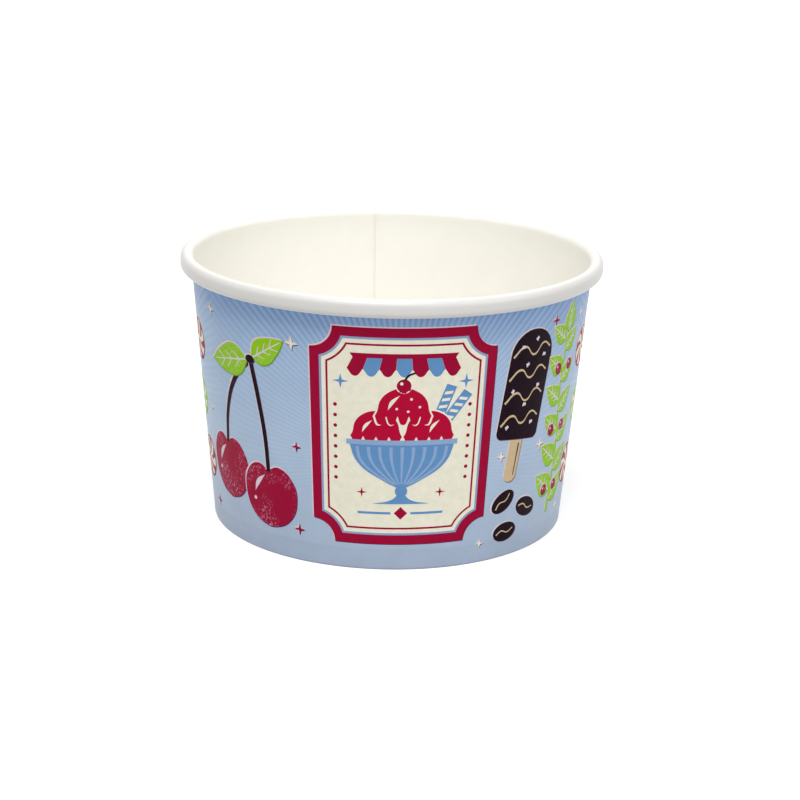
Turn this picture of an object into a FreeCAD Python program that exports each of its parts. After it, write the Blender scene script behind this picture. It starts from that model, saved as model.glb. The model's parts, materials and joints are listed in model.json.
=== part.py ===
import FreeCAD, Part
import math
import os

# A squat round paper dessert cup in two pieces of paperboard: a side wall with a rolled rim and a
# folded-in foot, and a floor disc whose turned-down skirt is clamped in that fold.
# Millimetres, +Z up. The origin is the centre of the foot, on the surface that the cup stands on.
# The front of the print faces -Y, and the glued side seam is at the back, towards +Y.

# Whole cup
cup_height = 62.0
rim_outer_radius = 48.0
foot_outer_radius = 40.5

# Side wall
wall_board = 0.40
rim_roll_width = 2.95
rim_flank_height = 1.2
rim_tuck_height = 0.9
rim_tuck_gap = 0.10
hem_below_floor = 1.0
heel_radius = 0.35

# Lapped side seam
seam_lap = 8.0
seam_ramp = 3.0
seam_end_gap = 0.10

# Floor disc
floor_board = 0.30
floor_recess = 6.0
floor_bend_radius = 0.45
glue_gap = 0.05

# Worked out from the sizes above
mouth_radius = rim_outer_radius - rim_roll_width
wall_top_radius = mouth_radius + wall_board
crown_radius = rim_roll_width / 2
under_radius = (rim_outer_radius - wall_top_radius - rim_tuck_gap) / 2
rim_bottom = cup_height - crown_radius - rim_flank_height - under_radius
wall_lean = (wall_top_radius - foot_outer_radius) / rim_bottom
hem_height = floor_recess - hem_below_floor
hem_pocket = floor_board + 2 * glue_gap
seam_radius = (foot_outer_radius + wall_top_radius) / 2
up = FreeCAD.Vector(0, 0, 1)


def at(radius, height):
    """A point of a section, in the plane through the axis and +X."""
    return FreeCAD.Vector(radius, 0, height)


def wall_radius(height, inward=0.0):
    """Radius of the wall's outer face at a height, or of a face that lies inward of it."""
    return foot_outer_radius + wall_lean * height - inward


def straight(*points):
    """Edges from each point to the next."""
    return [Part.LineSegment(a, b).toShape() for a, b in zip(points, points[1:])]


def bend(start, middle, end):
    """One round edge through three points."""
    return [Part.Arc(start, middle, end).toShape()]


def turned(edges):
    """Solid of a closed section turned once about the cup's axis."""
    section = Part.Face(Part.Wire(Part.__sortEdges__(edges)))
    return section.revolve(FreeCAD.Vector(), up, 360)


def circles_at(solid, height, radii):
    """The round edges of a solid at one height with one of the given radii."""
    found = []
    for edge in solid.Edges:
        level = abs(edge.BoundBox.ZMin - height) < 1e-4 and edge.BoundBox.ZLength < 1e-4
        if level and any(abs(edge.BoundBox.XMax - radius) < 1e-4 for radius in radii):
            found.append(edge)
    return found


def wall_section():
    """Section of the side wall: leaning board, rolled rim above and folded hem below."""
    crown_height = cup_height - crown_radius
    crown_middle = rim_outer_radius - crown_radius
    under_height = rim_bottom + under_radius
    under_middle = rim_outer_radius - under_radius
    tuck_radius = rim_outer_radius - 2 * under_radius
    tuck_top = under_height + rim_tuck_height
    flank_inside = rim_outer_radius - wall_board
    pocket_inside = wall_board + hem_pocket
    hem_inside = pocket_inside + wall_board

    outside = straight(
        at(wall_radius(0), 0),
        at(wall_top_radius, rim_bottom),
        at(wall_top_radius, crown_height),
    )
    roll_hollow = bend(
        at(wall_top_radius, crown_height),
        at(crown_middle, cup_height - wall_board),
        at(flank_inside, crown_height),
    )
    roll_hollow += straight(at(flank_inside, crown_height), at(flank_inside, under_height))
    roll_hollow += bend(
        at(flank_inside, under_height),
        at(under_middle, rim_bottom + wall_board),
        at(tuck_radius + wall_board, under_height),
    )
    tuck = straight(
        at(tuck_radius + wall_board, under_height),
        at(tuck_radius + wall_board, tuck_top),
        at(tuck_radius, tuck_top),
        at(tuck_radius, under_height),
    )
    roll_skin = bend(
        at(tuck_radius, under_height),
        at(under_middle, rim_bottom),
        at(rim_outer_radius, under_height),
    )
    roll_skin += straight(at(rim_outer_radius, under_height), at(rim_outer_radius, crown_height))
    roll_skin += bend(
        at(rim_outer_radius, crown_height),
        at(crown_middle, cup_height),
        at(mouth_radius, crown_height),
    )
    inside_and_hem = straight(
        at(mouth_radius, crown_height),
        at(mouth_radius, rim_bottom),
        at(wall_radius(wall_board, wall_board), wall_board),
        at(wall_radius(wall_board, pocket_inside), wall_board),
        at(wall_radius(hem_height, pocket_inside), hem_height),
        at(wall_radius(hem_height, hem_inside), hem_height),
        at(wall_radius(0, hem_inside), 0),
        at(wall_radius(0), 0),
    )
    return outside + roll_hollow + tuck + roll_skin + inside_and_hem


def by_seam(height, along, outward):
    """A point near the seam: along the girth from the back, and outward of the wall's outer face."""
    turn = math.pi / 2 + along / seam_radius
    reach = wall_radius(height) + outward
    return FreeCAD.Vector(reach * math.cos(turn), reach * math.sin(turn), height)


def lap_outline(height):
    """Plan of the outer lap: cut edge, raised board, and the ramp that ends inside the wall."""
    half = seam_lap / 2
    ramp_end = half + 1.25 * seam_ramp
    cut_foot = by_seam(height, -half, -wall_board / 2)
    cut_top = by_seam(height, -half, wall_board)
    ramp_top = by_seam(height, half, wall_board)
    ramp_foot = by_seam(height, ramp_end, -wall_board / 4)
    edges = straight(cut_foot, cut_top)
    edges += bend(cut_top, by_seam(height, 0, wall_board), ramp_top)
    edges += straight(ramp_top, ramp_foot)
    edges += bend(ramp_foot, by_seam(height, 0, -wall_board / 2), cut_foot)
    return Part.Wire(edges)


def groove_outline(height):
    """Plan of the groove inside, between the inner lap's cut edge and the outer lap's ramp."""
    half = seam_lap / 2
    ramp_end = half + 1.25 * seam_ramp
    mouth = by_seam(height, half, -1.5 * wall_board)
    depth = by_seam(height, half, 0)
    ramp_foot = by_seam(height, ramp_end, -1.25 * wall_board)
    far_side = by_seam(height, ramp_end, -1.5 * wall_board)
    return Part.Wire(straight(mouth, depth, ramp_foot, far_side, mouth))


def sidewall():
    """The side wall: one board, rolled, folded and lapped on itself at the back."""
    wall = turned(wall_section())
    heel = [wall_radius(0), wall_radius(0, 2 * wall_board + hem_pocket)]
    wall = wall.makeFillet(heel_radius, circles_at(wall, 0, heel))
    lap_top = rim_bottom - seam_end_gap
    floor_top = floor_recess + floor_board
    lap = Part.makeLoft([lap_outline(heel_radius), lap_outline(lap_top)], True, True)
    groove = Part.makeLoft([groove_outline(floor_top), groove_outline(lap_top)], True, True)
    return wall.fuse(lap).cut(groove)


def base_disc():
    """The floor: a flat disc whose skirt is turned down into the hem."""
    skirt_outside = wall_board + glue_gap
    skirt_inside = skirt_outside + floor_board
    skirt_foot = wall_board + glue_gap
    floor_top = floor_recess + floor_board
    disc = turned(
        straight(
            at(0, floor_recess),
            at(wall_radius(floor_recess, skirt_inside), floor_recess),
            at(wall_radius(skirt_foot, skirt_inside), skirt_foot),
            at(wall_radius(skirt_foot, skirt_outside), skirt_foot),
            at(wall_radius(floor_top, skirt_outside), floor_top),
            at(0, floor_top),
            at(0, floor_recess),
        )
    )
    shoulder = circles_at(disc, floor_top, [wall_radius(floor_top, skirt_outside)])
    disc = disc.makeFillet(floor_bend_radius + floor_board, shoulder)
    corner = circles_at(disc, floor_recess, [wall_radius(floor_recess, skirt_inside)])
    return disc.makeFillet(floor_bend_radius, corner)


os.makedirs("parts", exist_ok=True)
for name, shape in {"sidewall": sidewall(), "base_disc": base_disc()}.items():
    shape.exportStep("parts/" + name + ".step")
    box = shape.BoundBox
    print(name, shape.isValid(), len(shape.Solids), "solid", round(shape.Volume, 1), "mm3",
          round(box.XLength, 3), round(box.YLength, 3), round(box.ZMin, 3), round(box.ZMax, 3))
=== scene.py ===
import json
import math

import bmesh
import bpy
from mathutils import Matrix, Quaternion, Vector


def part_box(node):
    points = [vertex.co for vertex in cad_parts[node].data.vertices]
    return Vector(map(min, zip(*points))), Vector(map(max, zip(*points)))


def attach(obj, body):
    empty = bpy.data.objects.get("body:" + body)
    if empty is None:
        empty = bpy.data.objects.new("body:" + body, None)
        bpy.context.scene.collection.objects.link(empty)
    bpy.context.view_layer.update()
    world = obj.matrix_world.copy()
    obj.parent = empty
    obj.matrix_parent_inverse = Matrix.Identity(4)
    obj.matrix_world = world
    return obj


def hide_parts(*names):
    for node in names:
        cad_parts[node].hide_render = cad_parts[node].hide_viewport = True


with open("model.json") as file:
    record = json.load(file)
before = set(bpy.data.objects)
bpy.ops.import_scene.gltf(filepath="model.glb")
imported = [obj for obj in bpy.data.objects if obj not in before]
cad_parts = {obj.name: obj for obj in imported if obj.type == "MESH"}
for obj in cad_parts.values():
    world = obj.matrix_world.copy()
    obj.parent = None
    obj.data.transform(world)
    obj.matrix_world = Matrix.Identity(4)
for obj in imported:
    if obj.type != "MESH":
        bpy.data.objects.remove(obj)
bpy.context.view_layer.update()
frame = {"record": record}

# Side wall: one blank of white paperboard about 0.4 mm thick, coated inside and printed outside.
# It is wrapped into a cone and glued where it laps on itself at the back. The top edge is rolled
# outwards into the rim, and the bottom edge is folded inwards and up as the hem that holds the floor.

mm = 0.001
lid_rim = next(mount for mount in frame["record"]["mounts"] if mount["name"] == "lid_rim")
rim_radius = lid_rim["dims"]["r_mm"] * mm
cup_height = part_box("sidewall")[1][2]
foot_radius = 40.5 * mm
wall_board = 0.40 * mm
roll_width = 2.95 * mm
roll_flank = 1.2 * mm
tuck_height = 0.9 * mm
tuck_gap = 0.10 * mm
hem_height = 5.0 * mm
hem_pocket = 0.40 * mm
heel_turn = 0.20 * mm
lap_width = 8.0 * mm
lap_ramp = 3.0 * mm
lap_rise = 1.2 * mm
fold_top = 1.6 * mm
print_tuck = 1.5 * mm

mouth_radius = rim_radius - roll_width
crown_middle = rim_radius - roll_width / 2
crown_height = cup_height - roll_width / 2
under_radius = (roll_width - wall_board - tuck_gap) / 2
under_height = crown_height - roll_flank
rim_bottom = under_height - under_radius
wall_lean = (mouth_radius + wall_board - foot_radius) / rim_bottom
girth_radius = (foot_radius + mouth_radius + wall_board) / 2


def wall_radius(height, inward=0.0):
    """Radius of the wall's printed face at a height, or of a layer that lies inward of it."""
    return foot_radius + wall_lean * height - inward


def begin_line(name, radius, height):
    """A new piece that is a single point, ready to be drawn out into its section."""
    bpy.ops.object.select_all(action="DESELECT")
    bpy.ops.mesh.primitive_plane_add(size=mm)
    piece = bpy.context.object
    piece.name = name
    bpy.ops.object.mode_set(mode="EDIT")
    bpy.ops.mesh.select_all(action="SELECT")
    bpy.ops.mesh.merge(type="CENTER")
    bpy.ops.transform.translate(value=(radius, 0, height))
    return piece


def line_end():
    """Where the line that is being drawn has got to."""
    drawing = bmesh.from_edit_mesh(bpy.context.object.data)
    return next(point.co.copy() for point in drawing.verts if point.select)


def draw_to(radius, height, steps=1):
    """Draws the board's middle line straight on to a place."""
    stride = (Vector((radius, 0, height)) - line_end()) / steps
    for _ in range(steps):
        bpy.ops.mesh.extrude_region_move(TRANSFORM_OT_translate={"value": stride})


def bend_about(radius, height, degrees, steps):
    """Bends the middle line on round a centre in its own plane, clockwise seen from the front."""
    bpy.ops.mesh.spin(
        steps=steps, angle=-math.radians(degrees), center=(radius, 0, height), axis=(0, 1, 0)
    )


def turn_section(degrees, steps):
    """Sweeps the section on round the cup's axis, clockwise seen from above."""
    bpy.ops.mesh.spin(steps=steps, angle=math.radians(degrees), center=(0, 0, 0), axis=(0, 0, 1))


def give_thickness(piece, thickness):
    """Makes the board of a drawn surface: same thickness to both sides of its middle."""
    board = piece.modifiers.new("board", "SOLIDIFY")
    board.thickness = thickness
    board.offset = 0
    board.use_even_offset = True
    board.material_offset = 1
    board.material_offset_rim = 2
    bpy.ops.object.modifier_apply(modifier=board.name)


def face_the_normals(piece, faces_out):
    """Turns every face outwards; faces_out says whether a face whose side is known does so."""
    bpy.ops.object.mode_set(mode="EDIT")
    bpy.ops.mesh.select_all(action="SELECT")
    bpy.ops.mesh.normals_make_consistent(inside=False)
    bpy.ops.object.mode_set(mode="OBJECT")
    if not faces_out(piece.data):
        bpy.ops.object.mode_set(mode="EDIT")
        bpy.ops.mesh.flip_normals()
        bpy.ops.object.mode_set(mode="OBJECT")


hem_inward = wall_board + hem_pocket + wall_board / 2
heel_top = 2 * heel_turn
side_wall = begin_line("side_wall", wall_radius(hem_height, hem_inward), hem_height)
draw_to(wall_radius(heel_top, hem_inward), heel_top, steps=4)
bend_about(wall_radius(heel_top, hem_inward) + heel_turn, heel_top, degrees=-90, steps=4)
draw_to(wall_radius(heel_top, wall_board / 2) - heel_turn, heel_turn)
bend_about(wall_radius(heel_top, wall_board / 2) - heel_turn, heel_top, degrees=-90, steps=4)
draw_to(wall_radius(fold_top, wall_board / 2), fold_top, steps=4)
draw_to(wall_radius(rim_bottom, wall_board / 2), rim_bottom, steps=14)
draw_to(mouth_radius + wall_board / 2, crown_height, steps=3)
bend_about(crown_middle, crown_height, degrees=180, steps=14)
draw_to(rim_radius - wall_board / 2, under_height, steps=2)
bend_about(rim_radius - under_radius, under_height, degrees=180, steps=12)
draw_to(rim_radius - 2 * under_radius + wall_board / 2, under_height + tuck_height)

lap_half = math.degrees(lap_width / 2 / girth_radius)
ramp_turn = math.degrees(lap_ramp / girth_radius)
back = 90.0
bpy.ops.object.mode_set(mode="OBJECT")
side_wall.rotation_euler.z = math.radians(back + lap_half)
bpy.ops.object.transform_apply(location=True, rotation=True, scale=True)
bpy.ops.object.mode_set(mode="EDIT")
bpy.ops.mesh.select_all(action="SELECT")
turn_section(2 * lap_half, steps=11)
turn_section(360 - 2 * lap_half - ramp_turn, steps=345)
bpy.ops.object.mode_set(mode="OBJECT")
under_lap = len(side_wall.data.vertices)
bpy.ops.object.mode_set(mode="EDIT")
turn_section(ramp_turn, steps=6)
turn_section(2 * lap_half, steps=11)
bpy.ops.object.mode_set(mode="OBJECT")


def front_faces_viewer(mesh):
    """Whether the wall's face nearest the front, half way up, looks forwards."""
    middle = Vector((0, -girth_radius, cup_height / 2))
    nearest = min(mesh.polygons, key=lambda face: (face.center - middle).length)
    return nearest.normal.y < 0


def degrees_round(place):
    """Direction of a place seen from the axis, in degrees, with the back of the cup at 90."""
    return math.degrees(math.atan2(place.y, place.x))


def ease(value):
    """Smooth rise from 0 to 1."""
    value = min(max(value, 0.0), 1.0)
    return value * value * (3 - 2 * value)


def in_hem(place):
    """Whether a place is on the fold or on the leg that runs back up inside the wall."""
    reach = math.hypot(place.x, place.y)
    inside = reach < wall_radius(place.z, wall_board + hem_pocket / 2)
    return place.z < heel_top or (inside and place.z < hem_height + mm)


face_the_normals(side_wall, front_faces_viewer)

# The outer lap rides up one board's thickness over the inner one, above the fold.
lifts = []
for vertex in side_wall.data.vertices[under_lap:]:
    rise = (back + lap_half + ramp_turn - degrees_round(vertex.co)) / ramp_turn
    clear = 0.0 if in_hem(vertex.co) else ease((vertex.co.z - heel_top) / lap_rise)
    lifts.append(vertex.co + vertex.normal * wall_board * min(max(rise, 0.0), 1.0) * clear)
for vertex, lifted in zip(side_wall.data.vertices[under_lap:], lifts):
    vertex.co = lifted

# The inner lap's lower corner is nicked away, so the fold there is one board thick.
bpy.ops.object.mode_set(mode="EDIT")
bpy.ops.mesh.select_all(action="DESELECT")
bpy.ops.mesh.select_mode(type="FACE")
bpy.ops.object.mode_set(mode="OBJECT")
for face in side_wall.data.polygons:
    under = max(face.vertices) < under_lap and abs(degrees_round(face.center) - back) < lap_half
    face.select = under and (in_hem(face.center) or face.center.z < fold_top)
bpy.ops.object.mode_set(mode="EDIT")
bpy.ops.mesh.delete(type="FACE")
bpy.ops.mesh.select_mode(type="VERT")
bpy.ops.object.mode_set(mode="OBJECT")


def colour(red, green, blue):
    """A print colour, given as it looks on white board, in the numbers that a shader takes."""
    def straight(value):
        value = value / 255
        return value / 12.92 if value <= 0.04045 else ((value + 0.055) / 1.055) ** 2.4
    return (straight(red), straight(green), straight(blue), 1.0)


def new_material(name, roughness):
    """A paper finish, with its node tree, its shader and where the pattern is read from."""
    material = bpy.data.materials.new(name)
    material.use_nodes = True
    tree = material.node_tree
    shader = tree.nodes["Principled BSDF"]
    shader.inputs["Roughness"].default_value = roughness
    shader.inputs["Specular IOR Level"].default_value = 0.35
    places = tree.nodes.new("ShaderNodeTexCoord").outputs["Object"]
    return material, tree, shader, places


def noise(tree, places, features_per_m, detail):
    """Cloudy pattern of a given fineness."""
    node = tree.nodes.new("ShaderNodeTexNoise")
    node.inputs["Scale"].default_value = features_per_m
    node.inputs["Detail"].default_value = detail
    tree.links.new(places, node.inputs["Vector"])
    return node.outputs["Fac"]


def spread(tree, value, low, high, to_low, to_high):
    """Carries a value from one range to another, held at its ends."""
    node = tree.nodes.new("ShaderNodeMapRange")
    for socket, number in zip(node.inputs[1:5], (low, high, to_low, to_high)):
        socket.default_value = number
    tree.links.new(value, node.inputs[0])
    return node.outputs[0]


def cloudy(tree, places, features_per_m, detail, low, high):
    """The same pattern, carried on to the range between two values."""
    return spread(tree, noise(tree, places, features_per_m, detail), 0.3, 0.7, low, high)


def maths(tree, operation, first, second=None, third=None):
    """One sum on values or sockets."""
    node = tree.nodes.new("ShaderNodeMath")
    node.operation = operation
    for socket, given in zip(node.inputs, (first, second, third)):
        if isinstance(given, (int, float)):
            socket.default_value = given
        elif given is not None:
            tree.links.new(given, socket)
    return node.outputs[0]


def mixed(tree, share, first, second):
    """Colour mixed from two, by a share between 0 and 1."""
    node = tree.nodes.new("ShaderNodeMix")
    node.data_type = "RGBA"
    sockets = (node.inputs[0], node.inputs[6], node.inputs[7])
    for socket, given in zip(sockets, (share, first, second)):
        if isinstance(given, (int, float, tuple)):
            socket.default_value = given
        else:
            tree.links.new(given, socket)
    return node.outputs[2]


def relief(tree, height, strength, distance, beneath=None):
    """Raises the surface by a pattern, on top of another relief where there is one."""
    node = tree.nodes.new("ShaderNodeBump")
    node.inputs["Strength"].default_value = strength
    node.inputs["Distance"].default_value = distance
    tree.links.new(height, node.inputs["Height"])
    if beneath:
        tree.links.new(beneath, node.inputs["Normal"])
    return node.outputs["Normal"]


def add_board_grain(tree, shader, places, roughness, depth, pressed=None):
    """Surface of calendered board: fine fibres, a slow cockle, and a relief pressed in by tools."""
    fibres = noise(tree, places, features_per_m=2600, detail=4)
    cockle = noise(tree, places, features_per_m=60, detail=2)
    gloss = cloudy(tree, places, 500, 3, low=roughness - 0.05, high=roughness + 0.05)
    tree.links.new(gloss, shader.inputs["Roughness"])
    surface = relief(tree, fibres, strength=0.5, distance=depth)
    surface = relief(tree, cockle, strength=0.5, distance=8 * depth, beneath=surface)
    if pressed:
        surface = relief(tree, pressed, strength=0.8, distance=0.06 * mm, beneath=surface)
    tree.links.new(surface, shader.inputs["Normal"])


# The print's places on the flat blank, in millimetres from the front: the label's middle, and how
# far on it comes again.
panel_x = 3.0
panel_y = 31.0
print_repeat = 95.3

# The burst: its middle's height, its number of rays, the heights between which they come up out of
# the blue, and how strongly they show behind a label and between two labels.
burst_height = 26 * mm
burst_rays = 174.0
rays_begin = 8 * mm
rays_full = 34 * mm
burst_near = 30 * mm
burst_far = 46 * mm
near_strength = 0.34
far_strength = 0.16

# The blue as it looks from the foot, at 0, over the hem's line, at 0.08, to the roll, at 1. The print
# deepens towards the rim, and painted shade is mixed in: a dark line of painted contact shade at the
# foot, a slightly darker band of painted shade over the hem, and a painted shadow of the roll over the
# top few millimetres under it.
foot_contact_shade = (150, 160, 180)
ground_blues_and_shade = (
    (0.010, (171, 186, 209)),
    (0.076, (172, 189, 213)),
    (0.086, (176, 194, 217)),
    (0.45, (177, 200, 227)),
    (0.84, (159, 188, 223)),
)
under_roll_shadow = (112, 153, 208)


def ground_material():
    """Pale blue ground, rays behind each panel, deeper towards the rim, painted shade at foot, hem and
    roll.
    """
    material, tree, shader, places = new_material("blue_ground", 0.42)
    apart = tree.nodes.new("ShaderNodeSeparateXYZ")
    tree.links.new(places, apart.inputs[0])

    # Places along the flat blank, which starts and ends at the lap's cut edge.
    forward = maths(tree, "MULTIPLY", apart.outputs["Y"], -1.0)
    turn = maths(tree, "ARCTAN2", apart.outputs["X"], forward)
    round_by = maths(tree, "MULTIPLY", turn, girth_radius)
    lap_edge = math.pi * girth_radius - lap_width / 2
    blank = maths(tree, "WRAP", round_by, lap_edge, lap_edge - 2 * math.pi * girth_radius)
    girth = maths(tree, "SUBTRACT", blank, panel_x * mm)
    across = maths(tree, "WRAP", girth, print_repeat / 2 * mm, -print_repeat / 2 * mm)

    above = maths(tree, "SUBTRACT", apart.outputs["Z"], burst_height)
    bearing = maths(tree, "ARCTAN2", above, across)
    waves = maths(tree, "SINE", maths(tree, "MULTIPLY", bearing, burst_rays))
    rays = spread(tree, waves, -0.9, 0.9, 0.0, 1.0)
    faint = spread(tree, apart.outputs["Z"], rays_begin, rays_full, 0.05, 1.0)

    # Blue by height: print, with painted shade at the foot, over the hem and under the roll.
    depth = tree.nodes.new("ShaderNodeValToRGB")
    stops = depth.color_ramp.elements
    stops[0].position = 0.0
    stops[0].color = colour(*foot_contact_shade)
    stops[1].position = 1.0
    stops[1].color = colour(*under_roll_shadow)
    for position, shade in ground_blues_and_shade:
        stops.new(position).color = colour(*shade)
    level = spread(tree, apart.outputs["Z"], 0.0, rim_bottom, 0.0, 1.0)
    tree.links.new(level, depth.inputs["Fac"])
    aside = maths(tree, "ABSOLUTE", across)
    fade = spread(tree, aside, burst_near, burst_far, near_strength, far_strength)
    strength = maths(tree, "MULTIPLY", maths(tree, "MULTIPLY", rays, faint), fade)
    rayed = mixed(tree, strength, depth.outputs["Color"], colour(206, 223, 246))

    cloud = cloudy(tree, places, 180, 3, low=0.96, high=1.03)
    dots = cloudy(tree, places, 5200, 1, low=0.975, high=1.02)
    tint = tree.nodes.new("ShaderNodeVectorMath")
    tint.operation = "SCALE"
    tree.links.new(rayed, tint.inputs[0])
    tree.links.new(maths(tree, "MULTIPLY", cloud, dots), tint.inputs["Scale"])
    tree.links.new(tint.outputs[0], shader.inputs["Base Color"])
    over_hem = spread(tree, apart.outputs["Z"], hem_height - 0.7 * mm, hem_height, 0.0, 1.0)
    add_board_grain(tree, shader, places, roughness=0.42, depth=0.012 * mm, pressed=over_hem)
    return material


def from_axis(tree, places):
    """How far from the cup's axis a place is."""
    flatten = tree.nodes.new("ShaderNodeVectorMath")
    flatten.operation = "MULTIPLY"
    flatten.inputs[1].default_value = (1, 1, 0)
    length = tree.nodes.new("ShaderNodeVectorMath")
    length.operation = "LENGTH"
    tree.links.new(places, flatten.inputs[0])
    tree.links.new(flatten.outputs[0], length.inputs[0])
    return length.outputs["Value"]


def knurl(tree, places):
    """The 210 fine upright ridges that a wheel presses into the hem's leg from inside."""
    apart = tree.nodes.new("ShaderNodeSeparateXYZ")
    tree.links.new(places, apart.inputs[0])
    turn = maths(tree, "ARCTAN2", apart.outputs["X"], apart.outputs["Y"])
    ridges = maths(tree, "SINE", maths(tree, "MULTIPLY", turn, 210.0))
    band = spread(tree, apart.outputs["Z"], hem_height - mm, hem_height - 0.6 * mm, 1.0, 0.0)
    return maths(tree, "MULTIPLY", ridges, band)


def white_board(name, shade, roughness, depth, rolled=None, knurled=False):
    """White board, coated or bare, faintly mottled, with a greyer painted shade on the roll's outer
    side.
    """
    material, tree, shader, places = new_material(name, roughness)
    shader.inputs["Specular IOR Level"].default_value = 0.5
    mottle = cloudy(tree, places, 220, 4, low=0.0, high=1.0)
    dimmer = tuple(0.975 * part for part in shade[:3]) + (1.0,)
    surface = mixed(tree, mottle, shade, dimmer)
    # The roll's outer half is coloured greyer: painted shade on its flank.
    if rolled:
        roll_shade_share = spread(tree, from_axis(tree, places), crown_middle, crown_middle + mm, 0.0, 1.0)
        surface = mixed(tree, roll_shade_share, surface, rolled)
    tree.links.new(surface, shader.inputs["Base Color"])
    add_board_grain(tree, shader, places, roughness, depth, knurl(tree, places) if knurled else None)
    return material


blue_ground = ground_material()
# A greyer white for the roll's outer side: painted shade on the same coated board.
roll_painted_shade = colour(224, 222, 219)
coated_white = white_board(
    "coated_white", colour(254, 252, 245), roughness=0.34, depth=0.006 * mm, rolled=roll_painted_shade
)
cut_edge = white_board("cut_edge", colour(234, 229, 216), roughness=0.75, depth=0.030 * mm)
bare_white = white_board(
    "bare_white", colour(236, 233, 225), roughness=0.55, depth=0.016 * mm, knurled=True
)

for surface in (blue_ground, coated_white, cut_edge, bare_white):
    side_wall.data.materials.append(surface)
bpy.context.view_layer.objects.active = side_wall
give_thickness(side_wall, wall_board)

# The blue stops under the rim, and just inside the fold at the foot. Past it the board is bare.
bare_slot = side_wall.data.materials.find("bare_white")
for face in side_wall.data.polygons:
    past_print = in_hem(face.center) and face.center.z > print_tuck
    if face.material_index == 0 and (face.center.z > rim_bottom or past_print):
        face.material_index = bare_slot
bpy.ops.object.shade_smooth_by_angle(angle=math.radians(40))
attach(side_wall, "root")
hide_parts("sidewall")

# Front panel: a ticket-shaped label of crimson and cream inks on the blue ground, with a sundae in a
# blue glass under a striped awning. It is printed on the flat blank before the cup is formed, and it
# stands proud of the board by no more than its inks.

# From here on the print is drawn flat, in millimetres. A coat of ink is 0.01 mm, and each motif is
# cut into upright columns before it is bent round the wall.
coat = 0.01
column = 1.25
pale_shift = (-0.28, 0.30)
deep_shift = (0.16, -0.20)
panel_width = 39.5
panel_height = 49.5
corner_hollow = 5.0
ink_gloss = 0.04
ink_roughness = 0.40


def ink(name, shade, worn=0.0, showing=None):
    """A printing ink, faintly mottled, or worn to specks of the colour that shows through it."""
    material, tree, shader, places = new_material(name, ink_roughness)
    shader.inputs["Specular IOR Level"].default_value = ink_gloss
    mottle = cloudy(tree, places, 700, 4, low=0.0, high=1.0)
    thin = tuple(0.92 * part + 0.004 for part in shade[:3]) + (1.0,)
    surface = mixed(tree, mottle, shade, thin)
    if worn:
        patches = spread(tree, noise(tree, places, 130, 2), 0.42, 0.62, 0.0, 0.85)
        specks = spread(tree, noise(tree, places, 2000, 5), 0.70 - worn, 0.78 - worn, 0.0, 1.0)
        surface = mixed(tree, maths(tree, "MULTIPLY", specks, patches), surface, showing)
    tree.links.new(surface, shader.inputs["Base Color"])
    add_board_grain(tree, shader, places, ink_roughness, depth=coat * mm)
    return material


crimson = ink("crimson_ink", colour(168, 6, 56))
bright_crimson = ink("bright_crimson_ink", colour(194, 6, 58))
cream = ink("cream_ink", colour(254, 250, 230))
shadow_blue = ink("shadow_blue_ink", colour(150, 176, 214))
glass_blue = ink("glass_blue_ink", colour(152, 182, 222))
deep_blue = ink("deep_blue_ink", colour(106, 156, 210))
pale_edge = ink("pale_edge_ink", colour(236, 222, 232))
deep_edge = ink("deep_edge_ink", colour(96, 34, 82))
dark_brown = ink("dark_brown_ink", colour(26, 5, 20))


def disc(radius, height=None, points=36):
    """A round cut-out, or an oval one where it has its own height."""
    bpy.ops.object.select_all(action="DESELECT")
    bpy.ops.mesh.primitive_circle_add(vertices=points, radius=radius, fill_type="NGON")
    bpy.context.object.scale.y = (height or radius) / radius
    bpy.ops.object.transform_apply(scale=True)
    return bpy.context.object


def cut_out(points, sharp=()):
    """A cut-out whose edge runs smoothly through points in millimetres, but for its sharp corners."""
    outline = bpy.data.curves.new("cut_out", "CURVE")
    outline.dimensions = "2D"
    outline.fill_mode = "BOTH"
    outline.resolution_u = 7
    edge = outline.splines.new("BEZIER")
    edge.use_cyclic_u = True
    edge.bezier_points.add(len(points) - 1)
    for number, (knot, point) in enumerate(zip(edge.bezier_points, points)):
        knot.co = (point[0], point[1], 0)
        knot.handle_left_type = "VECTOR" if number in sharp else "AUTO"
        knot.handle_right_type = knot.handle_left_type
    piece = bpy.data.objects.new("cut_out", outline)
    bpy.context.scene.collection.objects.link(piece)
    bpy.ops.object.select_all(action="DESELECT")
    piece.select_set(True)
    bpy.context.view_layer.objects.active = piece
    bpy.ops.object.convert(target="MESH")
    bpy.ops.object.mode_set(mode="EDIT")
    bpy.ops.mesh.select_all(action="SELECT")
    bpy.ops.mesh.dissolve_limited(angle_limit=math.radians(0.5))
    bpy.ops.object.mode_set(mode="OBJECT")
    return bpy.context.object


def polygon(points):
    """A cut-out with straight edges."""
    return cut_out(points, range(len(points)))


def ribbon(line, width, end_width=None):
    """A cut-out that follows a line of points, as wide at each end as it is told."""
    end_width = width if end_width is None else end_width
    left, right = [], []
    for number, point in enumerate(line):
        before = Vector(line[max(number - 1, 0)])
        after = Vector(line[min(number + 1, len(line) - 1)])
        across = (after - before).orthogonal().normalized()
        share = number / (len(line) - 1)
        half = (width + (end_width - width) * share) / 2
        left.append(Vector(point) + across * half)
        right.append(Vector(point) - across * half)
    outline = left + right[::-1]
    last = len(line) - 1
    return cut_out(outline, (0, last, last + 1, 2 * last + 1))


def star(radius, waist=0.26):
    """A sparkle with four sharp tips."""
    points = []
    for number in range(8):
        reach = radius if number % 2 == 0 else radius * waist
        turn = math.pi * number / 4 + math.pi / 2
        points.append((reach * math.cos(turn), reach * math.sin(turn)))
    return polygon(points)


def leaf(length, width):
    """A pointed leaf that lies along +X from its stalk."""
    half = width / 2
    points = [(0, 0), (0.28 * length, half), (0.68 * length, 0.72 * half), (length, 0)]
    points += [(0.68 * length, -0.72 * half), (0.28 * length, -half)]
    return cut_out(points, (0, 3))


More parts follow.
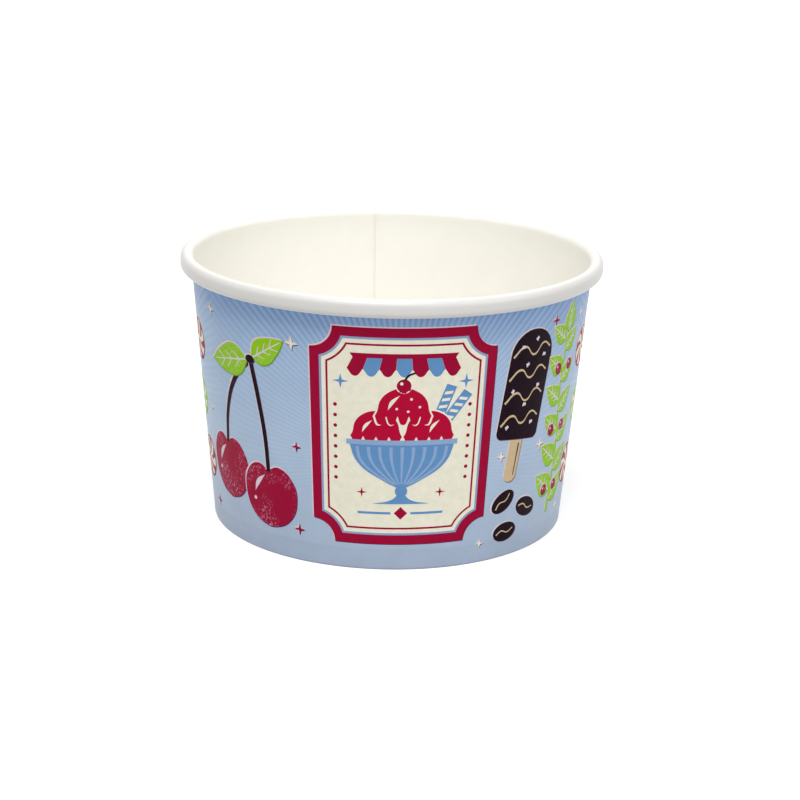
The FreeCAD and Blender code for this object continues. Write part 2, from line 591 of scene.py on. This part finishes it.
def lay(piece, shade, level, x=0.0, y=0.0, turn=0.0):
    """Gives a cut-out its ink and its place on the motif, and its coat in the stack of inks."""
    piece.data.materials.clear()
    piece.data.materials.append(shade)
    piece.location = (x, y, coat * (level + 1))
    piece.rotation_euler.z = math.radians(turn)
    bpy.ops.object.select_all(action="DESELECT")
    piece.select_set(True)
    bpy.context.view_layer.objects.active = piece
    bpy.ops.object.transform_apply(location=True, rotation=True, scale=True)
    return piece


def lay_edged(piece, shade, level, x=0.0, y=0.0, turn=0.0, deep=None):
    """The same, over inks a little out of place: pale to the upper left, deep to the lower right."""
    lay(piece, shade, level, x, y, turn)
    pieces = [piece]
    for under, (aside, up) in ((pale_edge, pale_shift), (deep or deep_edge, deep_shift)):
        bpy.ops.object.select_all(action="DESELECT")
        piece.select_set(True)
        bpy.context.view_layer.objects.active = piece
        bpy.ops.object.duplicate()
        edge = bpy.context.object
        lay(edge, under, level - 1)
        bpy.ops.transform.translate(value=(aside, up, -coat * (level + 1)))
        pieces.append(edge)
    return pieces


def press(name, cut_outs, x, y, turn=0.0, size=1.0):
    """Prints a motif: joins its cut-outs, makes each a coat of ink, and bends them round the wall."""
    bpy.ops.object.select_all(action="DESELECT")
    for piece in cut_outs:
        piece.select_set(True)
    bpy.context.view_layer.objects.active = cut_outs[0]
    bpy.ops.object.join()
    motif = bpy.context.object
    motif.name = name
    motif.scale = (size, size, 1)
    motif.rotation_euler.z = math.radians(turn)
    motif.location = (x, y, 0)
    bpy.ops.object.transform_apply(location=True, rotation=True, scale=True)
    places = [vertex.co.x for vertex in motif.data.vertices]
    bpy.ops.object.mode_set(mode="EDIT")
    bpy.ops.mesh.select_all(action="SELECT")
    bpy.ops.mesh.extrude_region_move()
    bpy.ops.transform.resize(value=(1, 1, 0), center_override=(0, 0, -coat))
    first, last = math.ceil(min(places) / column), math.floor(max(places) / column)
    for line in range(first, last + 1):
        bpy.ops.mesh.select_all(action="SELECT")
        bpy.ops.mesh.bisect(plane_co=(line * column, 0, 0), plane_no=(1, 0, 0))
    bpy.ops.mesh.select_all(action="SELECT")
    bpy.ops.mesh.dissolve_degenerate(threshold=coat / 5)
    bpy.ops.object.mode_set(mode="OBJECT")
    for vertex in motif.data.vertices:
        around = vertex.co.x * mm / girth_radius - math.pi / 2
        height = vertex.co.y * mm * math.cos(math.atan(wall_lean))
        reach = wall_radius(height) + vertex.co.z * mm
        vertex.co = (reach * math.cos(around), reach * math.sin(around), height)
    bpy.ops.object.mode_set(mode="EDIT")
    bpy.ops.mesh.select_all(action="SELECT")
    bpy.ops.mesh.normals_make_consistent(inside=False)
    bpy.ops.object.mode_set(mode="OBJECT")
    bpy.ops.object.shade_smooth_by_angle(angle=math.radians(30))
    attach(motif, "root")


def ticket(inset):
    """A ticket-shaped label with hollow corners, drawn a distance inside its full outline."""
    hollow = corner_hollow + inset
    clear = math.degrees(math.asin(inset / hollow))
    outline = []
    for corner in range(4):
        right = 1 if corner in (0, 3) else -1
        top = 1 if corner in (0, 1) else -1
        for step in range(13):
            turn = math.radians(270 + 90 * corner - clear - (90 - 2 * clear) * step / 12)
            outline.append((right * panel_width / 2 + hollow * math.cos(turn),
                            top * panel_height / 2 + hollow * math.sin(turn)))
    return polygon(outline)


def awning(stripes, stripe, drop):
    """A striped shop awning with a scalloped edge."""
    cloth = []
    gap = 0.03
    flare = 1.12
    for number in range(stripes):
        left = (number - stripes / 2) * stripe
        hang = flare * left
        step = flare * stripe
        shade = crimson if number % 2 == 0 else deep_blue
        outline = [(left, 0), (left + stripe - gap, 0), (hang + step - gap, -drop)]
        outline += [(hang + 0.5 * step, -drop - 0.55 * stripe), (hang, -drop)]
        cloth.append(lay(cut_out(outline, (0, 1, 2, 4)), shade, 3))
    rail_top = 0.53 * stripes * stripe
    rail_foot = 0.5 * stripes * stripe
    rail = [(-rail_top, 0.9), (rail_top, 0.9), (rail_foot, -0.1), (-rail_foot, -0.1)]
    cloth.append(lay(polygon(rail), crimson, 4))
    return cloth


def scoop(radius, drips):
    """A ball of ice cream with a scalloped hem."""
    points = []
    for number in range(7):
        turn = math.radians(180 * number / 6)
        points.append((radius * math.cos(turn), radius * math.sin(turn)))
    sharp = []
    step = 2.16 * radius / drips
    for number in range(drips):
        left = -1.08 * radius + number * step
        sharp.append(len(points))
        points.append((left, -0.16 * radius))
        points.append((left + 0.5 * step, -0.52 * radius))
    sharp.append(len(points))
    points.append((1.08 * radius, -0.16 * radius))
    return cut_out(points, sharp)


def shine(radius):
    """The curved light on the upper left of something round."""
    return cut_out([(-0.66 * radius, 0.02 * radius), (-0.56 * radius, 0.42 * radius),
                    (-0.16 * radius, 0.70 * radius), (-0.40 * radius, 0.36 * radius)], (0, 2))


def sundae():
    """Three scoops with a cherry, in a footed glass with two wafer rolls."""
    pieces = []
    wafer = [(-1.15, -6.5), (1.15, -6.5), (1.15, 6.0), (-1.15, 6.0)]
    for turn, x, y in ((-20, 8.0, 6.2), (-36, 10.2, 5.2)):
        pieces.append(lay(polygon(wafer), deep_blue, 2, x, y, turn))
        for number in range(7):
            band = polygon([(-0.8, -0.35), (0.8, 0.35), (0.8, 1.05), (-0.8, 0.35)])
            bpy.ops.transform.translate(value=(0, -6.0 + 1.65 * number, 0))
            bpy.ops.object.transform_apply(location=True)
            pieces.append(lay(band, cream, 3, x, y, turn))
    for x, shine_x in ((-5.6, -5.8), (5.6, 8.4)):
        pieces.append(lay(scoop(5.4, 4), cream, 3, x, 1.2))
        pieces.append(lay(scoop(5.05, 4), bright_crimson, 4, x, 1.2))
        pieces.append(lay(shine(4.2), cream, 5, shine_x, 1.2))
    pieces.append(lay(scoop(5.9, 5), cream, 5, 0, 6.0))
    pieces.append(lay(scoop(5.5, 5), bright_crimson, 6, 0, 6.0))
    pieces.append(lay(shine(4.9), cream, 7, 0, 6.4))
    for x, y in ((1.6, 9.0), (3.4, 7.2), (1.0, 6.2), (-1.4, 6.8)):
        pieces.append(lay(disc(0.28, points=12), cream, 7, x, y))
    pieces.append(lay(disc(1.75), cream, 6, 0, 12.0))
    pieces.append(lay(disc(1.5), crimson, 7, 0, 12.0))
    pieces.append(lay(disc(0.35, points=12), cream, 8, -0.5, 12.5))
    pieces.append(lay(ribbon([(0.1, 13.2), (0.9, 14.3), (2.3, 14.9)], 0.5, 0.35), dark_brown, 7))
    bowl = [(-11.4, -1.0), (11.4, -1.0), (9.6, -5.6), (3.6, -10.0), (0.9, -11.4), (-0.9, -11.4)]
    bowl += [(-3.6, -10.0), (-9.6, -5.6)]
    pieces.append(lay(cut_out(bowl, (0, 1, 4, 5)), deep_blue, 6))
    for number in range(-4, 5):
        foot_x = 0.42 * number
        flute = [(foot_x, -10.6), (3.2 * foot_x, -8.4), (5.3 * foot_x, -5.0), (5.75 * foot_x, -2.0)]
        pieces.append(lay(ribbon(flute, 0.25, 0.75), glass_blue, 7))
    pieces.append(lay(ribbon([(-11.9, -1.0), (0, -1.0), (11.9, -1.0)], 1.1), glass_blue, 8))
    pieces.append(lay(disc(1.35), deep_blue, 6, 0, -12.2))
    foot = [(-0.7, -13.0), (0.7, -13.0), (2.0, -14.2), (6.2, -15.2), (-6.2, -15.2), (-2.0, -14.2)]
    pieces.append(lay(cut_out(foot, (0, 1, 3, 4)), deep_blue, 6))
    return pieces


def move(pieces, x=0.0, y=0.0, coats=0):
    """Shifts cut-outs that have their ink, across the motif and up the stack of coats."""
    bpy.ops.object.select_all(action="DESELECT")
    for piece in pieces:
        piece.select_set(True)
    bpy.ops.transform.translate(value=(x, y, coats * coat))
    return pieces


def panel():
    """The whole label."""
    pieces = lay_edged(ticket(0), crimson, 1)
    for number, (inset, shade) in enumerate(
            ((2.1, shadow_blue), (2.6, cream), (3.5, crimson), (3.95, cream))):
        pieces.append(lay(ticket(inset), shade, 2 + number))
    picture = sundae() + move(awning(stripes=7, stripe=3.0, drop=2.6), y=18.2)
    for side in (-1, 1):
        for number in range(8):
            dot = disc(0.42, points=14)
            picture.append(lay(dot, crimson, 2, side * 14.3, 7.2 - 2.4 * number))
        rule = [(side * 2.2, -17.4), (side * 5.5, -17.4), (side * 9.5, -17.4)]
        picture.append(lay(ribbon(rule, 0.55), deep_blue, 2))
        picture.append(lay(star(1.7), deep_blue, 2, side * 13.1, 12.6))
        picture.append(lay(star(1.2), crimson, 2, side * 8.6, -12.6))
    picture.append(lay(star(1.5, 0.7), crimson, 2, 0, -17.4))
    return pieces + move(picture, coats=4)


for number, name in enumerate(("panel_left", "panel_front", "panel_right")):
    press(name, panel(), panel_x + (number - 1) * print_repeat, panel_y)

# Cherries, left of the panel: a pair of worn crimson cherries on brown stems with two green leaves,
# printed like the panel, each ink over a pale edge that is a little out of place.

worn_crimson = ink("worn_crimson_ink", colour(168, 10, 58), 0.16, colour(206, 150, 182))
worn_green = ink("worn_green_ink", colour(158, 214, 36), 0.14, colour(196, 222, 180))
deep_green = ink("deep_green_ink", colour(116, 158, 66))


def cherry(radius):
    """A cherry with the dimple that its stem sits in."""
    half = [(0.42, 0.97), (0.90, 0.62), (1.04, 0.0), (0.78, -0.66), (0.22, -0.98)]
    outline = [(0.0, 0.82)] + [(-x, y) for x, y in half] + half[::-1]
    return cut_out([(radius * x, radius * y) for x, y in outline], (0,))


def veined_leaf(length, width, x, y, turn, level):
    """A worn green leaf with pale veins."""
    pieces = lay_edged(leaf(length, width), worn_green, level, x, y, turn, deep_green)
    midrib = ribbon([(0.06 * length, 0), (0.5 * length, 0), (0.9 * length, 0)], 0.42, 0.2)
    pieces.append(lay(midrib, pale_edge, level + 1, x, y, turn))
    for number in range(1, 4):
        root = 0.2 * number * length
        for side in (-1, 1):
            tip = (root + 0.15 * length, side * 0.26 * width)
            middle = (root + 0.06 * length, side * 0.12 * width)
            vein = ribbon([(root, 0), middle, tip], 0.28, 0.15)
            pieces.append(lay(vein, pale_edge, level + 1, x, y, turn))
    return pieces


def cherry_pair():
    """The pair, drawn about the middle of the space that it fills."""
    pieces = []
    joint = (3.5, 15.0)
    radius = 7.3
    for level, x, y in ((1, -7.2, -12.6), (4, 7.0, -16.0)):
        pieces += lay_edged(cherry(radius), worn_crimson, level, x, y)
        pieces.append(lay(shine(0.92 * radius), pale_edge, level + 1, x, y))
        spot = (x - 0.62 * radius, y - 0.22 * radius)
        pieces.append(lay(disc(0.45, points=14), pale_edge, level + 1, *spot))
        lean = (joint[0] - x) / 2
        stem = [(x, y + 0.78 * radius), (x + 0.25 * lean, y + 1.9 * radius),
                (x + 0.95 * lean, y + 3.0 * radius), joint]
        pieces += lay_edged(ribbon(stem, 0.9, 1.15), dark_brown, level + 2)
    pieces += veined_leaf(14.0, 7.0, joint[0] - 0.6, joint[1] - 0.2, 192, 8)
    pieces += veined_leaf(10.5, 5.6, joint[0] + 0.4, joint[1] + 0.2, 32, 8)
    pieces += lay_edged(disc(1.25, 0.9), dark_brown, 11, *joint)
    return pieces


press("cherries_front", cherry_pair(), -35.5, 30.0)

# Mints, in a column at each end of the front picture and one at the back: round pinwheel sweets in
# crimson or green on cream, printed like the rest.


def mint(radius, shade):
    """A round sweet with six curved stripes."""
    deep = deep_green if shade == worn_green else deep_edge
    pieces = lay_edged(disc(radius), shade, 1, deep=deep)
    pieces.append(lay(disc(radius - 0.4), cream, 2))
    for number in range(6):
        start = 60 * number
        outline = []
        for share, turn in ((0.1, 24), (0.5, 22), (1, 40), (1, 54), (1, 68), (0.5, 48)):
            around = math.radians(start + turn)
            reach = share * (radius - 0.3)
            outline.append((reach * math.cos(around), reach * math.sin(around)))
        pieces.append(lay(cut_out(outline, (0, 2, 4)), shade, 3))
    pieces.append(lay(disc(0.16 * radius, points=16), cream, 4))
    return pieces


front_mints = ((57.0, 43.5, 4.8), (59.0, 29.5, 4.3), (56.5, 15.5, 4.8))
for side, column_name in ((-1, "left"), (1, "right")):
    for number, (x, y, radius) in enumerate(front_mints):
        shade = worn_crimson if (number + side) % 2 else worn_green
        name = "mint_%s_%d" % (column_name, number)
        press(name, mint(radius, shade), side * x, y, 15 * number)
for number, (y, radius) in enumerate(((46.0, 4.2), (31.0, 4.4), (16.0, 4.2))):
    shade = worn_green if number % 2 else worn_crimson
    press("mint_back_%d" % number, mint(radius, shade), 125.0, y)

# Ice bar, right of the panel: a dark chocolate bar with drizzle and nuts on a flat wooden stick, and
# cocoa beans below it, printed in brown and tan.

tan = ink("tan_ink", colour(222, 196, 158))


def round_ended(width, height, top, bottom):
    """An upright cut-out with round corners, larger at the top than at the bottom."""
    outline = []
    corners = ((1, 1, top, 0), (-1, 1, top, 90), (-1, -1, bottom, 180), (1, -1, bottom, 270))
    for right, up, radius, start in corners:
        for step in range(9):
            turn = math.radians(start + 90 * step / 8)
            outline.append((right * (width / 2 - radius) + radius * math.cos(turn),
                            up * (height / 2 - radius) + radius * math.sin(turn)))
    return polygon(outline)


def ice_bar():
    """The bar on its stick."""
    pieces = lay_edged(round_ended(3.6, 13.0, 0.6, 1.7), tan, 1, 0, -16.0)
    pieces.append(lay(ribbon([(0.9, -13.5), (0.9, -17), (0.9, -21)], 0.35, 0.2), dark_brown, 2))
    pieces += lay_edged(round_ended(12.2, 25.0, 5.9, 1.5), dark_brown, 3)
    for number in range(4):
        low = -9.5 + 5.2 * number
        line = [(-5.4, low), (-2.6, low + 2.4), (0.4, low + 0.6), (3.0, low + 3.2), (5.2, low + 2.2)]
        pieces.append(lay(ribbon(line, 0.55, 0.4), tan, 4))
    nuts = ((-3.2, 8.4, 20), (0.6, 10.2, 70), (3.6, 6.6, 10), (-1.0, 4.4, 50), (3.4, -0.4, 30))
    nuts += ((-3.8, -1.6, 80), (0.2, -4.6, 15), (-3.6, -9.8, 60), (3.4, -8.8, 35))
    for x, y, turn in nuts:
        nut = polygon([(-0.55, -0.3), (0.45, -0.4), (0.6, 0.2), (-0.2, 0.5)])
        pieces.append(lay(nut, pale_edge, 5, x, y, turn))
    return pieces


def bean():
    """A cocoa bean with its pale crease."""
    pieces = lay_edged(disc(3.4, 2.2), dark_brown, 1)
    crease = [(-2.5, -0.3), (-1.0, 0.35), (0.8, -0.35), (2.5, 0.3)]
    pieces.append(lay(ribbon(crease, 0.35, 0.25), tan, 2))
    return pieces


press("ice_bar_front", ice_bar(), 31.8, 40.5, turn=-7)
press("ice_bar_right", ice_bar(), 69.8, 38.0, turn=5, size=0.86)
press("ice_bar_back", ice_bar(), -120.4, 36.5, turn=-4, size=0.9)
for number, (x, y, turn) in enumerate(((28.0, 13.6, 35), (35.6, 11.0, -20), (29.4, 6.2, 5))):
    press("cocoa_bean_%d" % number, bean(), x, y, turn)

# Mint sprig, right of the bar: an upright green sprig with leaves to both sides and crimson berries,
# in the same worn inks, with a smaller one at the far left of the front picture.

leaf_green = ink("leaf_green_ink", colour(158, 214, 36))


def sprig(pairs, gap):
    """The sprig, from its foot upwards."""
    height = gap * pairs
    stem = [(0, 0), (0.9, 0.35 * height), (-0.7, 0.7 * height), (0.3, height)]
    pieces = lay_edged(ribbon(stem, 1.0, 0.5), leaf_green, 1, deep=deep_green)
    for number in range(pairs):
        share = (number + 0.35) / pairs
        root = (0.9 * math.sin(2 * math.pi * share), height * share)
        size = 1.0 - 0.26 * share
        pieces += veined_leaf(8.8 * size, 5.3 * size, root[0], root[1], 38, 3)
        pieces += veined_leaf(8.8 * size, 5.3 * size, root[0], root[1] + 0.35 * gap, 144, 3)
    pieces += veined_leaf(7.2, 4.4, stem[-1][0], stem[-1][1] - 0.6, 84, 6)
    for number in range(0, pairs, 2):
        share = (number + 0.9) / pairs
        for side in (-1, 1):
            x, y = side * 2.6, height * share - 0.5
            pieces += lay_edged(disc(1.25, points=24), worn_crimson, 6, x, y)
            pieces.append(lay(disc(0.3, points=12), pale_edge, 7, x - 0.4, y + 0.4))
    return pieces


press("sprig_front", sprig(pairs=6, gap=7.2), 45.2, 7.0)
press("sprig_left", sprig(pairs=6, gap=7.2), -66.8, 14.0, size=0.68)

# Sparkles: small four-pointed stars in cream and crimson ink, scattered over the blue between the
# pictures and printed like them.

sparkles = (
    (-20.8, 50.5, 1.6),
    (-20.6, 27.0, 1.2),
    (-46.0, 53.0, 1.5),
    (-50.6, 29.0, 1.2),
    (-20.5, 7.6, 1.4),
    (26.4, 24.5, 1.2),
    (38.6, 25.0, 1.5),
    (39.5, 53.5, 1.3),
    (52.0, 52.5, 1.4),
    (51.8, 6.5, 1.4),
    (-51.0, 6.5, 1.4),
    (22.4, 4.6, 1.0),
)
for number, (x, y, radius) in enumerate(sparkles):
    shade = crimson if number % 3 == 1 else cream
    press("sparkle_%d" % number, lay_edged(star(radius), shade, 1), x, y)

# Floor: a disc of white coated board about 0.3 mm thick, set 6 mm up inside the foot. Its edge is
# turned down as a skirt, which is glued to the wall and clamped by the hem.

floor_board = 0.30 * mm
glue_gap = 0.05 * mm
floor_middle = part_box("base_disc")[1][2] - floor_board / 2
skirt_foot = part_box("base_disc")[0][2]
skirt_inward = wall_board + glue_gap + floor_board / 2
floor_turn = 0.60 * mm
lean_angle = math.degrees(math.atan(wall_lean))

floor_disc = begin_line("floor_disc", 0, floor_middle)
turn_height = floor_middle - floor_turn
turn_middle = wall_radius(turn_height, skirt_inward) - floor_turn
draw_to(turn_middle, floor_middle, steps=8)
bend_about(turn_middle, turn_height, degrees=90 - lean_angle, steps=6)
draw_to(wall_radius(skirt_foot, skirt_inward), skirt_foot, steps=3)
bpy.ops.mesh.select_all(action="SELECT")
turn_section(360, steps=180)
bpy.ops.mesh.select_all(action="SELECT")
bpy.ops.mesh.remove_doubles(threshold=0.005 * mm)
bpy.ops.object.mode_set(mode="OBJECT")
face_the_normals(floor_disc, lambda mesh: mesh.polygons[0].normal.z > 0)
for surface in (coated_white, bare_white, cut_edge):
    floor_disc.data.materials.append(surface)
bpy.context.view_layer.objects.active = floor_disc
give_thickness(floor_disc, floor_board)
bpy.ops.object.shade_smooth_by_angle(angle=math.radians(40))
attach(floor_disc, "root")
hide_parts("base_disc")

# Studio: a plain pale floor that runs past the view, a large soft lamp overhead, a little to the
# front, a weaker one to the right, and an even pale surround. None of it is part of the cup.

floor_width = 6.0
floor_glow_near = 0.57
floor_glow_far = 0.76
glow_grows_from = 0.06
glow_grows_to = 0.45
surround_light = 0.38

bpy.ops.object.select_all(action="DESELECT")
bpy.ops.mesh.primitive_plane_add(size=floor_width)
studio_floor = bpy.context.object
studio_floor.name = "studio_floor"
paper_floor = bpy.data.materials.new("studio_floor")
paper_floor.use_nodes = True
floor_tree = paper_floor.node_tree
floor_tree.nodes.remove(floor_tree.nodes["Principled BSDF"])
seen = floor_tree.nodes.new("ShaderNodeLightPath")
matt = floor_tree.nodes.new("ShaderNodeBsdfDiffuse")
matt.inputs["Color"].default_value = (0.70, 0.70, 0.69, 1)
backlit = floor_tree.nodes.new("ShaderNodeEmission")
seen_plainly = maths(floor_tree, "MAXIMUM", seen.outputs["Is Camera Ray"], seen.outputs["Is Glossy Ray"])
floor_places = floor_tree.nodes.new("ShaderNodeTexCoord").outputs["Object"]
glow = spread(floor_tree, from_axis(floor_tree, floor_places), glow_grows_from, glow_grows_to,
              floor_glow_near, floor_glow_far)
floor_tree.links.new(maths(floor_tree, "MULTIPLY", seen_plainly, glow), backlit.inputs["Strength"])
both = floor_tree.nodes.new("ShaderNodeAddShader")
floor_tree.links.new(matt.outputs[0], both.inputs[0])
floor_tree.links.new(backlit.outputs[0], both.inputs[1])
floor_tree.links.new(both.outputs[0], floor_tree.nodes["Material Output"].inputs["Surface"])
studio_floor.data.materials.append(paper_floor)

surround = bpy.data.worlds.new("surround")
surround.use_nodes = True
surround_tree = surround.node_tree
pale = surround_tree.nodes["Background"]
pale.inputs["Color"].default_value = (1.0, 1.0, 1.0, 1.0)
ray = surround_tree.nodes.new("ShaderNodeLightPath")
ray_seen = maths(surround_tree, "MAXIMUM", ray.outputs["Is Camera Ray"], ray.outputs["Is Glossy Ray"])
brightness = spread(surround_tree, ray_seen, 0.0, 1.0, surround_light, 1.0)
surround_tree.links.new(brightness, pale.inputs["Strength"])
bpy.context.scene.world = surround


def soft_lamp(name, place, aim, size, watts):
    """A square soft box that looks at a place on the cup."""
    bpy.ops.object.light_add(type="AREA", location=place)
    lamp = bpy.context.object
    lamp.name = name
    lamp.data.shape = "SQUARE"
    lamp.data.size = size
    lamp.data.energy = watts
    lamp.rotation_euler = (aim - Vector(place)).to_track_quat("-Z", "Y").to_euler()


cup_middle = Vector((0, 0, cup_height / 2))
soft_lamp("overhead_lamp", (-0.07, -0.31, 0.82), cup_middle, size=0.50, watts=5.4)
soft_lamp("right_lamp", (0.74, -0.42, 0.52), cup_middle, size=0.60, watts=1.55)

# Camera: a long lens above the rim, looking a little down at the front of the cup. cup_pixel is
# where the photo has the cup's middle, and lens_pixels is the lens in the photo's pixels.

view_distance = 458 * mm
view_height = math.radians(16.6)
view_roll = math.radians(1.15)
frame_pixels = 800
lens_pixels = 1972
cup_pixel = (389.5, 379.8)

camera_data = bpy.data.cameras.new("camera")
camera = bpy.data.objects.new("camera", camera_data)
bpy.context.scene.collection.objects.link(camera)
camera_data.sensor_width = 36
camera_data.lens = lens_pixels / frame_pixels * camera_data.sensor_width
camera_data.shift_x = (frame_pixels / 2 - cup_pixel[0]) / frame_pixels
camera_data.shift_y = -(frame_pixels / 2 - cup_pixel[1]) / frame_pixels
camera_data.clip_start = 0.01
away = Vector((0, -math.cos(view_height), math.sin(view_height)))
camera.location = cup_middle + away * view_distance
camera.rotation_mode = "QUATERNION"
camera.rotation_quaternion = (-away).to_track_quat("-Z", "Y") @ Quaternion((0, 0, 1), view_roll)
bpy.context.scene.camera = camera
bpy.context.scene.view_settings.view_transform = "Standard"
